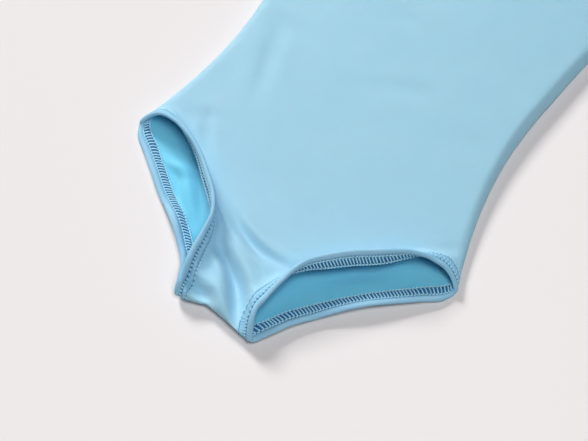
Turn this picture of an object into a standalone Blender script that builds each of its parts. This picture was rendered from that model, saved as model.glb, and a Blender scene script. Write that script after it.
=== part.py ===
"""A long sleeve leotard laid face up on a flat surface, its sleeves spread and its leg openings standing open.

Metres, +Z up. X runs across the garment, +Y from the crotch to the neck, and the cloth rests on Z = 0.
Every piece is a wall of cloth. The plan of the garment is drawn from its flat sizes, and two height
fields lift it: one for the cloth on top, one for the cloth beneath, which meet at rounded folds.
"""
import math

import bpy
import numpy as np

# Cloth and seams
CLOTH = 0.0012
HEM_CLOTH = 0.0021
SEAM_GAP = 0.0003
LEG_GAP = 0.0006
LEG_HEM = 0.013
SMALL_HEM = 0.010

# Flat sizes of the body: half widths across, heights up from the crotch fold
CROTCH_HALF = 0.038
HIP_HALF = 0.153
HIP_Y = 0.121
ARMPIT_Y = 0.440
NECK_HALF = 0.085
NECK_Y = 0.622
FRONT_NECK_DROP = 0.097
BACK_NECK_DROP = 0.034
SHOULDER_TIP = (0.152, 0.598)
SIDE = (  # height, half width
    (HIP_Y, HIP_HALF),
    (0.139, 0.1480),
    (0.158, 0.1430),
    (0.187, 0.1365),
    (0.223, 0.1315),
    (0.250, 0.1300),
    (0.281, 0.1310),
    (0.340, 0.1380),
    (0.400, 0.1465),
    (ARMPIT_Y, 0.1510),
)
ARMHOLE_DIP = 0.014

# Sleeves, laid outwards and down from the shoulders
SLEEVE_ANGLE = math.radians(42)
UNDERARM_LENGTH = 0.450
CUFF_WIDTH = 0.078

# Heights of the cloth
SEAM_Z = 0.005
TOP_ROUND = 0.009
BACK_ROUND = 0.0055
FOLD_SLACK = 0.00005
SEAM_RUN = 0.020
CROTCH_SEAM_RISE = 0.0035
CROTCH_LIFT = 0.003
CROTCH_REACH = 0.035
SIDE_DROP = 0.35
LOFT = (  # height up the body, height of the front cloth at the centre
    (0.000, 0.0135),
    (0.030, 0.0145),
    (0.070, 0.0135),
    (0.120, 0.0130),
    (0.180, 0.0160),
    (0.250, 0.0190),
    (0.350, 0.0210),
    (0.440, 0.0200),
    (0.540, 0.0145),
    (0.622, 0.0120),
)
SLEEVE_LOFT = ((0.0, 0.0118), (0.12, 0.0122), (0.30, 0.0112), (0.60, 0.0098))

# Each leg edge from the crotch to the hip: where its rim lies, how far both rims are drawn to the right as the
# cloth lies, and how steeply the hem stands, in metres and degrees
FRONT_EDGE = (  # across, up, drift, tilt left, tilt right
    (CROTCH_HALF, 0.0000, 0.0000, 0, 0),
    (0.0358, 0.0160, -0.0038, 25, 28),
    (0.0372, 0.0340, -0.0047, 38, 38),
    (0.0390, 0.0520, -0.0029, 56, 60),
    (0.0417, 0.0680, -0.0008, 82, 86),
    (0.0520, 0.0840, 0.0010, 104, 110),
    (0.0670, 0.0985, 0.0010, 106, 118),
    (0.0860, 0.1125, 0.0028, 98, 112),
    (0.1055, 0.1235, 0.0022, 84, 82),
    (0.1240, 0.1295, 0.0010, 62, 44),
    (0.1392, 0.1295, 0.0000, 38, 20),
    (0.1490, 0.1248, 0.0000, 12, 6),
    (HIP_HALF, HIP_Y, 0.0000, 0, 0),
)
BACK_EDGE = (  # across, up, drift, tilt left, tilt right
    (CROTCH_HALF, 0.0000, 0.0000, 0, 0),
    (0.0457, 0.0130, 0.0028, 16, 14),
    (0.0533, 0.0270, 0.0043, 20, 14),
    (0.0654, 0.0405, 0.0041, 22, 14),
    (0.0803, 0.0550, 0.0028, 20, 18),
    (0.0990, 0.0700, 0.0000, 16, 22),
    (0.1170, 0.0850, 0.0000, 14, 22),
    (0.1340, 0.0990, 0.0000, 10, 16),
    (0.1475, 0.1105, 0.0000, 4, 6),
    (HIP_HALF, HIP_Y, 0.0000, 0, 0),
)
BEND = 0.013
CROTCH_SHARE = 0.10
HIP_SHARE = 0.24
FAN_SHARE = 0.40

# The crotch fold lies in a soft wave: how far it is pushed up the body at each place across
FOLD_WAVE = (  # across, up
    (-0.075, 0.0000),
    (-0.055, 0.0010),
    (-0.037, 0.0020),
    (-0.028, 0.0012),
    (-0.017, 0.0036),
    (-0.010, 0.0058),
    (-0.003, 0.0050),
    (0.008, 0.0030),
    (0.021, 0.0000),
    (0.034, -0.0020),
    (0.050, -0.0015),
    (0.075, 0.0000),
)
WAVE_REACH = 0.030

# Soft folds in the front near the crotch: the ends of each trough, its depth and half width
FOLDS = (
    (-0.042, 0.080, 0.034, 0.060, 0.0020, 0.009),
    (-0.030, 0.045, 0.014, 0.034, 0.0022, 0.008),
    (-0.026, 0.016, 0.010, 0.012, 0.0014, 0.007),
)

# Rows and columns of the walls
MIDDLE_ROWS = 10
SIDE_ROWS = 6
INNER_COLUMNS = 6
EDGE_STEPS = (0.0, 0.0006, 0.0024, 0.0060, 0.0100)
NECK_STEPS = (0.0, 0.0040, 0.0100)
SHOULDER_COLUMNS = 4
ROW_BEND = 2.5
CORNER_BEND = 4.3
CORNER_DIRECTION = np.array([-0.5, 0.87])
LEG_CENTRE_Y = 0.185
SLEEVE_STATIONS = 9
SLEEVE_COLUMNS = 5
BODY_HALF_LENGTH = NECK_Y / 2

CLOTH_COLOUR = (0.376, 0.640, 0.780, 1.0)


def through(knots, values, at):
    """A smooth curve through the values at the knots: cubic pieces whose slopes are the neighbours' mean slope."""
    knots, values = np.asarray(knots, float), np.asarray(values, float)
    at = np.clip(np.asarray(at, float), knots[0], knots[-1])
    slopes = np.gradient(values, knots, axis=0)
    i = np.clip(np.searchsorted(knots, at, side="right") - 1, 0, len(knots) - 2)
    step = knots[i + 1] - knots[i]
    t = (at - knots[i]) / step
    if values.ndim > 1:
        t, step = t[..., None], step[..., None]
    return (
        (2 * t**3 - 3 * t**2 + 1) * values[i]
        + (t**3 - 2 * t**2 + t) * step * slopes[i]
        + (3 * t**2 - 2 * t**3) * values[i + 1]
        + (t**3 - t**2) * step * slopes[i + 1]
    )


def smooth(t):
    t = np.clip(t, 0, 1)
    return t * t * (3 - 2 * t)


def chord(points):
    """The share of the way along a run of points, from 0 to 1."""
    steps = np.linalg.norm(np.diff(np.asarray(points, float), axis=0), axis=1)
    along = np.concatenate([[0], np.cumsum(steps)])
    return along / along[-1]


def unit(v):
    return v / np.maximum(np.linalg.norm(v, axis=-1, keepdims=True), 1e-12)


def side_half(y):
    table = np.array(SIDE)
    return through(table[:, 0], table[:, 1], y)


def armhole(t):
    """The armhole seam from the armpit at 0 to the shoulder tip at 1, dipping towards the neck between them."""
    t = np.asarray(t, float)
    low = np.array([side_half(ARMPIT_Y), ARMPIT_Y])
    high = np.array(SHOULDER_TIP)
    line = low + t[..., None] * (high - low)
    dip = ARMHOLE_DIP * np.sin(math.pi * t) ** 2
    return line - dip[..., None] * np.array([1.0, 0.0])


SLEEVE_DIRECTION = np.array([math.cos(SLEEVE_ANGLE), -math.sin(SLEEVE_ANGLE)])
SLEEVE_ACROSS = np.array([math.sin(SLEEVE_ANGLE), math.cos(SLEEVE_ANGLE)])
ARMPIT = armhole(np.array(0.0))
ARMHOLE_SQUARE = unit(np.array([SHOULDER_TIP[1] - ARMPIT[1], ARMPIT[0] - SHOULDER_TIP[0], 0.0]))
CUFF_LOW = ARMPIT + UNDERARM_LENGTH * SLEEVE_DIRECTION + 0.006 * SLEEVE_ACROSS
CUFF_HIGH = CUFF_LOW + CUFF_WIDTH * SLEEVE_ACROSS


def sleeve_folds(v):
    """The under fold and the top fold of a sleeve at a share v of its length, each nearly straight."""
    v = np.asarray(v, float)
    ease = (0.010 * np.sin(math.pi * v))[..., None] * SLEEVE_ACROSS
    under = ARMPIT + v[..., None] * (CUFF_LOW - ARMPIT) + 0.3 * ease
    tip = np.array(SHOULDER_TIP)
    top = tip + v[..., None] * (CUFF_HIGH - tip) + ease
    return under, top


def fold_lines():
    """Each line where the cloth turns over from front to back, on the right half, as plan points."""
    heights = np.concatenate([[HIP_Y], np.linspace(HIP_Y + SEAM_RUN, ARMPIT_Y, 50)])
    side = np.stack([side_half(heights), heights], axis=1)
    under, top = sleeve_folds(np.linspace(0, 1, 70))
    shoulder = np.linspace([NECK_HALF, NECK_Y], SHOULDER_TIP, 12)
    crotch = np.linspace([0.0, 0.0], [CROTCH_HALF, 0.0], 8)
    return [np.concatenate([side, under[1:]]), np.concatenate([shoulder, top[1:]]), crotch]


FOLD_LINES = fold_lines()


def fold_distance(x, y):
    """How far a plan point is from the nearest fold line, measured to the line's pieces."""
    p = np.stack([np.abs(x), y], axis=-1).reshape(-1, 1, 2)
    best = np.full(len(p), np.inf)
    for line in FOLD_LINES:
        a, d = line[:-1], np.diff(line, axis=0)
        t = np.clip(((p - a) * d).sum(-1) / (d * d).sum(-1), 0, 1)
        away = np.linalg.norm(p - a - t[..., None] * d, axis=-1)
        best = np.minimum(best, away.min(axis=1))
    return best.reshape(np.shape(x))


def crotch_share(y):
    return np.exp(-((y / CROTCH_REACH) ** 2))


def seam_height(y):
    return SEAM_Z + CROTCH_SEAM_RISE * crotch_share(y)


def folds(x, y):
    """The troughs: each is deepest at its middle and fades along its line and to its sides."""
    total = np.zeros(np.shape(x))
    for ax, ay, bx, by, depth, width in FOLDS:
        d = np.array([bx - ax, by - ay])
        t = ((x - ax) * d[0] + (y - ay) * d[1]) / (d @ d)
        off = np.hypot(x - ax - t * d[0], y - ay - t * d[1])
        total -= depth * np.exp(-((off / width) ** 2) - ((2 * t - 1) / 1.0) ** 4)
    return total


def loft(x, y):
    """How high the cloth on top stands away from its folds: a low dome on the body, lower on the sleeves."""
    table, arm = np.array(LOFT), np.array(SLEEVE_LOFT)
    body = through(table[:, 0], table[:, 1], y)
    body = body * (1 - SIDE_DROP * np.clip(np.abs(x) / 0.15, 0, 1) ** 2)
    along = (np.abs(x) - ARMPIT[0]) * SLEEVE_DIRECTION[0] + (y - SHOULDER_TIP[1]) * SLEEVE_DIRECTION[1]
    on_sleeve = smooth((np.abs(x) - 0.125) / 0.05) * smooth((np.asarray(y) + 2 * np.abs(x) - 0.70) / 0.06)
    return body + (through(arm[:, 0], arm[:, 1], along) - body) * on_sleeve


def fold_turn(x, y, reach):
    """The rounded turn beside a fold line: 0 on the line, where the cloth stands upright, and 1 beyond its reach."""
    away = 1 - np.clip((fold_distance(x, y) - FOLD_SLACK) / reach, 0, 1)
    return np.sqrt(1 - away**2)


def top_height(x, y):
    """The outer face of the cloth on top: the seam's height, then a rounded turn up to the loft."""
    turn = fold_turn(x, y, TOP_ROUND)
    seam = seam_height(y)
    return seam + turn * (loft(x, y) - seam + folds(x, y))


def back_height(x, y):
    """The outer face of the cloth beneath: flat on the surface, with a rounded turn up to the seam."""
    turn = fold_turn(x, y, BACK_ROUND)
    lift = CROTCH_LIFT * crotch_share(y)
    return lift + (seam_height(y) - lift) * (1 - turn)


def leg_edge(table, share, side):
    """Plan point, inward direction and tilt along a leg edge. Side is -1 for the left and 1 for the right."""
    rows = np.array(table)
    rim = rows[:, :2] + side * rows[:, 2:3] * np.array([1.0, 0.0])
    knots = chord(rim)
    share = np.asarray(share, float)
    point = through(knots, rim, share)
    ahead = through(knots, rim, np.minimum(share + 0.004, 1))
    behind = through(knots, rim, np.maximum(share - 0.004, 0))
    along = unit(ahead - behind)
    inward = np.stack([-along[:, 1], along[:, 0]], axis=1)
    seam = unit(np.array([side_half(HIP_Y + SEAM_RUN) - side_half(HIP_Y), SEAM_RUN]))
    hip = smooth((share - 1 + HIP_SHARE) / HIP_SHARE * 1.25)[:, None]
    low = smooth((CROTCH_SHARE - share) / CROTCH_SHARE)[:, None]
    inward = unit(inward * (1 - hip) + seam * hip)
    inward = unit(inward * (1 - low) + np.array([-1.0, 0.0]) * low)
    tilt = np.radians(through(knots, rows[:, 3 if side < 0 else 4], share))
    return point, inward, tilt


def leg_profile(tilt, depths):
    """The cloth's line across a leg edge, from the rim inwards: (run in plan, rise above the panel) at each depth.
    The hem stands at the tilt, and the cloth inside it bends down to the panel."""
    fine = np.linspace(0, LEG_HEM + BEND, 105)
    angle = tilt[:, None] * (1 - smooth((fine - LEG_HEM + 0.001) / BEND))
    step = fine[1] - fine[0]
    run = np.cumsum(np.cos(angle), axis=1) * step
    rise = np.cumsum(np.sin(angle), axis=1) * step
    run = run - run[:, :1]
    rise = rise[:, -1:] - rise
    picked = np.stack([[np.interp(depths, fine, r) for r in table] for table in (run, rise)])
    return picked[0], picked[1]


def leg_points(table, height, share, side, depths, turned=None):
    """Points of the outer face at given depths inside a leg edge: an array of shares by depths by 3."""
    point, inward, tilt = leg_edge(table, share, side)
    run, rise = leg_profile(tilt, depths)
    plan = point[:, None, :] + run[..., None] * inward[:, None, :]
    if turned is not None:
        hem_run, _ = leg_profile(tilt, [depths[0]])
        start = point + hem_run * inward
        plan = start[:, None, :] + (run - hem_run)[..., None] * turned[:, None, :]
    x = plan[..., 0] * side
    z = height(x, plan[..., 1]) + rise
    return np.stack([x, plan[..., 1], z], axis=-1)


def row_shares():
    """Shares along a leg edge, closer together at both corners, where the cloth turns over."""
    corner = np.array(EDGE_STEPS) / LEG_CENTRE_Y
    t = np.linspace(0, 1, MIDDLE_ROWS)
    middle = corner[-1] + (1 - 2 * corner[-1]) * (t + 0.13 * np.sin(math.pi * t))
    return np.concatenate([corner[:-1], middle, 1 - corner[-2::-1]])


def inner_row(edge, centre_y, bend):
    """Plan points of a row from its edge columns to the centre: y bends from the edge's y to the centre's."""
    across = np.linspace(1, 0, INNER_COLUMNS + 2)[1:]
    x0, y0 = edge
    y = centre_y + (y0 - centre_y) * across**bend
    return np.stack([x0 * across, y], axis=1)


def neck_curve(share, drop, wider):
    """The neckline from its lowest point at 0 to the shoulder at 1: a quarter of an ellipse, made wider by a hem."""
    angle = share * math.pi / 2
    slope = (NECK_Y - SHOULDER_TIP[1]) / (SHOULDER_TIP[0] - NECK_HALF)
    top = NECK_Y - slope * wider
    depth = drop + wider - slope * wider
    return np.stack([(NECK_HALF + wider) * np.sin(angle), top - depth * np.cos(angle)], axis=-1)


def neck_shares(drop):
    """Shares of the neckline from the shoulder at 1 to its lowest point at 0, closer together at the shoulder."""
    corner = 1 - np.array(NECK_STEPS) / ((drop + SMALL_HEM) * math.pi / 2)
    rest = len(EDGE_STEPS) + INNER_COLUMNS + 2 - SHOULDER_COLUMNS - len(corner)
    return np.concatenate([corner[:-1], np.linspace(corner[-1], 0, rest)])


def top_boundary(drop):
    """The panel's top line from the shoulder tip to the centre: along the shoulder seam, then the neck hem."""
    neck = neck_curve(neck_shares(drop), drop, SMALL_HEM + 2 * SEAM_GAP)
    shoulder = np.linspace(SHOULDER_TIP, neck[0], SHOULDER_COLUMNS + 1)[:-1]
    return np.concatenate([shoulder, neck])


def armhole_shares():
    """Shares of the armhole seam, closer together at the armpit and at the shoulder tip."""
    length = np.linalg.norm(np.array(SHOULDER_TIP) - ARMPIT)
    steps = np.array(EDGE_STEPS) / length
    inner = np.linspace(steps[-1], 1 - steps[-1], SLEEVE_COLUMNS + 2)[1:-1]
    return np.concatenate([steps, inner, 1 - steps[::-1]])


def half_panel(table, height, drop, side):
    """One half of a body panel as rows by columns of outer points, from its edge to the centre line."""
    steps = np.array(EDGE_STEPS)
    shares = row_shares()
    _, inward, _ = leg_edge(table, shares, side)
    hip = np.clip((shares - 1 + FAN_SHARE) / FAN_SHARE, 0, 1)[:, None]
    turned = unit(inward * (1 - hip) + CORNER_DIRECTION * hip)
    start = LEG_HEM + LEG_GAP
    edges = leg_points(table, height, shares, side, start + steps, turned)
    rows = []
    for share, edge in zip(shares, edges):
        bend = ROW_BEND + CORNER_BEND * share**6
        plan = inner_row((edge[-1, 0] * side, edge[-1, 1]), LEG_CENTRE_Y * share, bend)
        rows.append(np.concatenate([edge, plan_to_points(plan, height, side)]))
    corner_y = edges[-1, 0, 1]
    for level in np.linspace(0, 1, SIDE_ROWS + 1)[1:]:
        y = corner_y + (ARMPIT_Y - corner_y) * level
        turn = smooth(level * SIDE_ROWS / 3)
        direction = unit(CORNER_DIRECTION * (1 - turn) + np.array([-1.0, 0.0]) * turn)
        edge = np.array([side_half(y), y]) + steps[:, None] * direction
        centre_y = LEG_CENTRE_Y + (ARMPIT_Y - LEG_CENTRE_Y) * level
        plan = np.concatenate([edge, inner_row(edge[-1], centre_y, ROW_BEND)])
        rows.append(plan_to_points(plan, height, side))
    low = np.abs(rows.pop()[:, :2])
    reach = 1 - chord(low)
    high = top_boundary(drop)
    for level in armhole_shares():
        plan = low + level * (high - low)
        hole = armhole(np.array(level))
        plan = plan + (hole - plan[0]) * (reach**3)[:, None]
        rows.append(plan_to_points(plan, height, side))
    return np.array(rows)


def plan_to_points(plan, height, side):
    x = plan[:, 0] * side
    return np.stack([x, plan[:, 1], height(x, plan[:, 1])], axis=1)


def body_panel(table, height, drop):
    left = half_panel(table, height, drop, -1)
    right = half_panel(table, height, drop, 1)
    return np.concatenate([left, right[:, -2::-1]], axis=1)


def leg_hem_ring(side):
    """The leg hem as stations round the opening by four points across its width."""
    shares = row_shares()
    depths = np.array([0.0, 0.0045, 0.009, LEG_HEM])
    front = leg_points(FRONT_EDGE, top_height, shares, side, depths)
    back = leg_points(BACK_EDGE, back_height, shares, side, depths)
    return np.concatenate([front, back[-2:0:-1]])


def hem_slopes(table, height):
    """The direction in which each leg hem meets its panel, for the panel's own cut edge to follow."""
    shares = row_shares()
    slopes = []
    for side, column in ((-1, 0), (1, -1)):
        points = leg_points(table, height, shares, side, [0.009, LEG_HEM])
        slopes.append((np.s_[: len(shares)], column, (points[:, 1] - points[:, 0]) * -side))
    return slopes


def neck_hem_ring():
    """The neck hem as stations round the neckline by three points across its width."""
    depths = np.linspace(0, SMALL_HEM, 3)
    halves = []
    for drop, height in ((FRONT_NECK_DROP, top_height), (BACK_NECK_DROP, back_height)):
        shares = neck_shares(drop)[::-1]
        plans = np.stack([neck_curve(shares, drop, d) for d in depths], axis=1)
        z = height(plans[..., 0], plans[..., 1])
        halves.append(np.concatenate([plans, z[..., None]], axis=-1))
    front, back = halves
    mirror = np.array([-1.0, 1.0, 1.0])
    right = np.concatenate([front, back[-2::-1]])
    return np.concatenate([right, (right * mirror)[-2:0:-1]])


def sleeve_rings(shares, side):
    """Sections of a sleeve: rings of outer points at shares of its length, each over the top and back beneath."""
    rings = []
    for v in shares:
        under, top = sleeve_folds(np.array(v))
        across = armhole_shares()
        straight = under + across[:, None] * (top - under)
        seam = armhole(across) - (ARMPIT + across[:, None] * (np.array(SHOULDER_TIP) - ARMPIT))
        plan = straight + (1 - smooth(v / 0.35)) * seam
        upper = plan_to_points(plan, top_height, side)
        lower = plan_to_points(plan, back_height, side)
        rings.append(np.concatenate([upper, lower[-2:0:-1]]))
    return np.array(rings)


def inner_face(outer, thickness, closed, upright, square):
    """The inner points of a wall: each outer point moved in along the surface's normal.
    On a folded seam the normal is level, and at an armhole it stays in the seam's own upright plane."""
    if closed:
        along = np.roll(outer, -1, axis=0) - np.roll(outer, 1, axis=0)
    else:
        along = np.gradient(outer, axis=0)
    across = np.gradient(outer, axis=1)
    for rows, column, direction in square:
        across[rows, column] = direction
    normal = unit(np.cross(across, along))
    for cells in upright:
        normal[cells] = unit(normal[cells] * np.array([1.0, 1.0, 0.0]))
    return outer - thickness * normal


def laid(points):
    """The points as the garment lies: those near the crotch fold follow its wave, which fades up the body."""
    wave = np.array(FOLD_WAVE)
    push = through(wave[:, 0], wave[:, 1], points[..., 0]) * np.exp(-((points[..., 1] / WAVE_REACH) ** 2))
    zero = np.zeros_like(push)
    return points + np.stack([zero, push - BODY_HALF_LENGTH, zero], axis=-1)


def wall(name, outer, thickness, collection, material, closed=False, mirrored=False, upright=(), square=()):
    """A grid of outer points as one closed wall of cloth: outer face, inner face and the cut edges between."""
    if mirrored:
        outer = outer[:, ::-1]
        square = [(rows, -1 - column, -direction) for rows, column, direction in square]
    rows, columns = outer.shape[:2]
    inner = inner_face(outer, thickness, closed, upright, square)
    points = laid(np.concatenate([outer, inner], axis=1))
    section = np.concatenate([np.arange(columns), 2 * columns - 1 - np.arange(columns)])
    index = np.arange(rows)[:, None] * 2 * columns + section
    if closed:
        index = np.concatenate([index, index[:1]])
    index = np.concatenate([index, index[:, :1]], axis=1)
    faces = np.stack([index[:-1, :-1], index[:-1, 1:], index[1:, 1:], index[1:, :-1]], axis=-1).reshape(-1, 4)
    faces = faces.tolist()
    if not closed:
        for row, turn in ((0, -1), (-1, 1)):
            top, bottom = index[row, :columns], index[row, columns:-1][::-1]
            cap = np.stack([top[:-1], top[1:], bottom[1:], bottom[:-1]], axis=-1)
            faces += cap[:, ::turn].tolist()
    mesh = bpy.data.meshes.new(name)
    mesh.from_pydata(points.reshape(-1, 3).tolist(), [], faces)
    mesh.materials.append(material)
    mesh.shade_smooth()
    obj = bpy.data.objects.new(name, mesh)
    collection.objects.link(obj)
    return obj


def knit_material(name):
    material = bpy.data.materials.new(name)
    material.use_nodes = True
    shader = material.node_tree.nodes["Principled BSDF"]
    shader.inputs["Base Color"].default_value = CLOTH_COLOUR
    shader.inputs["Roughness"].default_value = 0.6
    shader.inputs["Metallic"].default_value = 0.0
    return material


def trimmed(points, height_sign):
    """The same panel with its folded edges drawn back from the seam by half the gap, up for front, down for back."""
    moved = points.copy()
    seam = seam_height(points[..., 1])
    near = np.abs(points[..., 2] - seam) < SEAM_GAP / 2
    moved[..., 2] = np.where(near, seam + height_sign * SEAM_GAP / 2, points[..., 2])
    return moved


def build():
    for obj in list(bpy.data.objects):
        bpy.data.objects.remove(obj)
    collection = bpy.data.collections.new("long_sleeve_leotard")
    bpy.context.scene.collection.children.link(collection)
    knit = knit_material("knit")
    hem = knit_material("hem")
    front = trimmed(body_panel(FRONT_EDGE, top_height, FRONT_NECK_DROP), 1)
    back = trimmed(body_panel(BACK_EDGE, back_height, BACK_NECK_DROP), -1)
    hip = len(row_shares()) - 1
    armpit = len(front) - len(armhole_shares())
    shoulder = SHOULDER_COLUMNS + 1
    upright = [
        np.s_[0, :],
        np.s_[hip : armpit + 1, 0],
        np.s_[hip : armpit + 1, -1],
        np.s_[-1, :shoulder],
        np.s_[-1, -shoulder:],
    ]
    holes = np.s_[armpit + 1 : -1]
    square = [(holes, 0, ARMHOLE_SQUARE * [1, -1, 1]), (holes, -1, ARMHOLE_SQUARE)]
    cut = square + hem_slopes(FRONT_EDGE, top_height)
    wall("front", front, CLOTH, collection, knit, upright=upright, square=cut)
    cut = square + hem_slopes(BACK_EDGE, back_height)
    wall("back", back, CLOTH, collection, knit, mirrored=True, upright=upright, square=cut)
    wall("neck_hem", neck_hem_ring(), HEM_CLOTH, collection, hem, closed=True)
    gap_share = SEAM_GAP / UNDERARM_LENGTH
    cuff_share = 1 - SMALL_HEM / UNDERARM_LENGTH
    for side, word in ((-1, "left"), (1, "right")):
        ring = leg_hem_ring(side)
        wall(f"leg_hem_{word}", ring, HEM_CLOTH, collection, hem, closed=True, mirrored=side > 0)
        stations = np.linspace(gap_share, cuff_share - gap_share, SLEEVE_STATIONS)
        tube = sleeve_rings(stations, side).transpose(1, 0, 2)
        square = [(np.s_[:], 0, ARMHOLE_SQUARE * [side, 1, 1])]
        wall(f"sleeve_{word}", tube, CLOTH, collection, knit, closed=True, mirrored=side < 0, square=square)
        cuff = sleeve_rings(np.linspace(cuff_share, 1, 3), side).transpose(1, 0, 2)
        wall(f"cuff_hem_{word}", cuff, HEM_CLOTH, collection, hem, closed=True, mirrored=side < 0)


build()
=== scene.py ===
# %% [markdown]
# # A long sleeve leotard, laid flat
#
# This lesson dresses the plain solids of a leotard that lies face up on a pale surface. Each visible
# piece is a surface worked out with numpy: a function of two numbers, one along the cloth and one
# across it. The pieces are the front and back panels, two sleeves, and the turned hems with their
# two-needle stitching.

import math

import bpy
import numpy as np
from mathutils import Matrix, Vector


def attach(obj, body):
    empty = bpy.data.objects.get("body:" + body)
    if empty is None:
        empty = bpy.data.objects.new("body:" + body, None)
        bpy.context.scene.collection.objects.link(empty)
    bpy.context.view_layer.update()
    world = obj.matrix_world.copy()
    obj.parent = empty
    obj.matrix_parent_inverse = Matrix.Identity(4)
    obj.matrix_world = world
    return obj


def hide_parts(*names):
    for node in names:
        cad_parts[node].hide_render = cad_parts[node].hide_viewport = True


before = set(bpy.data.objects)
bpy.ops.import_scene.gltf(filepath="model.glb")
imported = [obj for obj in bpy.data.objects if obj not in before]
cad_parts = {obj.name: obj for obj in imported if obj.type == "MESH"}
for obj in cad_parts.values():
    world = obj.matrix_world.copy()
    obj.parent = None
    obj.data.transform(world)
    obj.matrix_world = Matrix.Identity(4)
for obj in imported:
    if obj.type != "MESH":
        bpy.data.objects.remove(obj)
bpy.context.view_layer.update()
print("solids:", sorted(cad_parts))

# %% [markdown]
# ## Camera
#
# The photograph looks down at about 61 degrees, turned to the left of the garment's own axis, with a
# long lens, so the leg openings are seen from below and from the right. Plan sizes below count y from
# the crotch fold. The part's frame has y = 0 at the middle of the body, so one number shifts them.

# %% Camera at the photograph's angle
BODY_HALF_LENGTH = 0.311


def placed(points):
    """Plan points moved into the part's frame, where y counts from the body's middle."""
    return points - np.array([0.0, BODY_HALF_LENGTH, 0.0])


camera = bpy.data.objects.new("camera", bpy.data.cameras.new("camera"))
bpy.context.scene.collection.objects.link(camera)
camera.data.sensor_width = 36.0
camera.data.lens = 97.96
camera.data.clip_end = 20.0
look_from = Vector(placed(np.array([0.3417, -0.4307, 1.1493])))
look_at = Vector(placed(np.array([0.0070, 0.1113, 0.0])))
line_of_sight = look_at - look_from
camera.location = look_from
camera.rotation_euler = line_of_sight.to_track_quat("-Z", "Y").to_euler()
bpy.context.scene.camera = camera
down = math.degrees(math.asin(-line_of_sight.z / line_of_sight.length))
print("camera looks down at", round(down, 1), "degrees")

# %% [markdown]
# ## Colours and nodes
#
# A colour is easiest to choose as an sRGB hex value, while Blender mixes light in linear values, so
# one function turns the first into the second. A second function adds a node with its settings and
# links, which keeps each material below a short list of what the cloth is.

# %% Colour and node helpers


def linear(hex_value):
    """An sRGB hex colour as linear red, green, blue, alpha: each channel through the sRGB curve."""
    channels = np.array([int(hex_value[i : i + 2], 16) / 255 for i in (1, 3, 5)])
    low = channels / 12.92
    high = ((channels + 0.055) / 1.055) ** 2.4
    return (*np.where(channels <= 0.04045, low, high).tolist(), 1.0)


def node(tree, kind, settings=None, **links):
    """Add one node. Settings name its properties, and each link is an input's value or another node's output."""
    made = tree.nodes.new(kind)
    for name, value in (settings or {}).items():
        setattr(made, name, value)
    for name, value in links.items():
        key = name.replace("_", " ")
        socket = made.inputs[int(key[1:])] if key[0] == "i" and key[1:].isdigit() else made.inputs[key]
        if isinstance(value, bpy.types.NodeSocket):
            tree.links.new(value, socket)
        else:
            socket.default_value = value
    return made


def new_material(name):
    """A material with nodes, its node tree and its principled shader."""
    material = bpy.data.materials.new(name)
    material.use_nodes = True
    return material, material.node_tree, material.node_tree.nodes["Principled BSDF"]


def set_inputs(shader, values):
    """Set the values that are the same all over a surface, on the shader's own sockets."""
    for name, value in values.items():
        shader.inputs[name].default_value = value


COLOUR_MIX = {"data_type": "RGBA"}  # inputs 0, 6 and 7 are the factor and two colours, output 2 the mix
print("mid grey is", round(linear("#808080")[0], 3), "in linear values")

# %% [markdown]
# ## Nylon-elastane jersey
#
# The leotard is a warp-knitted stretch jersey of dull nylon with elastane. It is smooth and almost
# matt, with a soft sheen where it turns away. Its wales are far finer than a millimetre, so here they
# are drawn at 1.1 mm, coarse enough to show as a fine grain, in a weak bump. A slow, faint noise varies
# the colour. The wrong side, where the elastane shows, is a deeper blue: an attribute called inside is
# 1 there. That blue is also painted brighter than the cloth's own, as painted light for the glow of
# bounced light deep in the openings. A second attribute paints shade into the colour: it darkens the
# needle holes and the cloth between the rows under the looper threads. One layer is thin enough for
# light to scatter through it, blue furthest, so the inside of an opening glows a deep blue.

# %% Jersey material
JERSEY_BLUE = "#a4d0e8"
JERSEY_PALE = "#acd6ed"
# the wrong side's deeper blue, painted brighter as painted light for the glow inside the openings
WRONG_SIDE_GLOW_BLUE = "#84d4f8"
# painted shade: the blue that the needle holes and the cloth under the looper threads are darkened to
STITCH_SHADE_BLUE = "#12669a"
WALE = 0.0011


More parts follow.
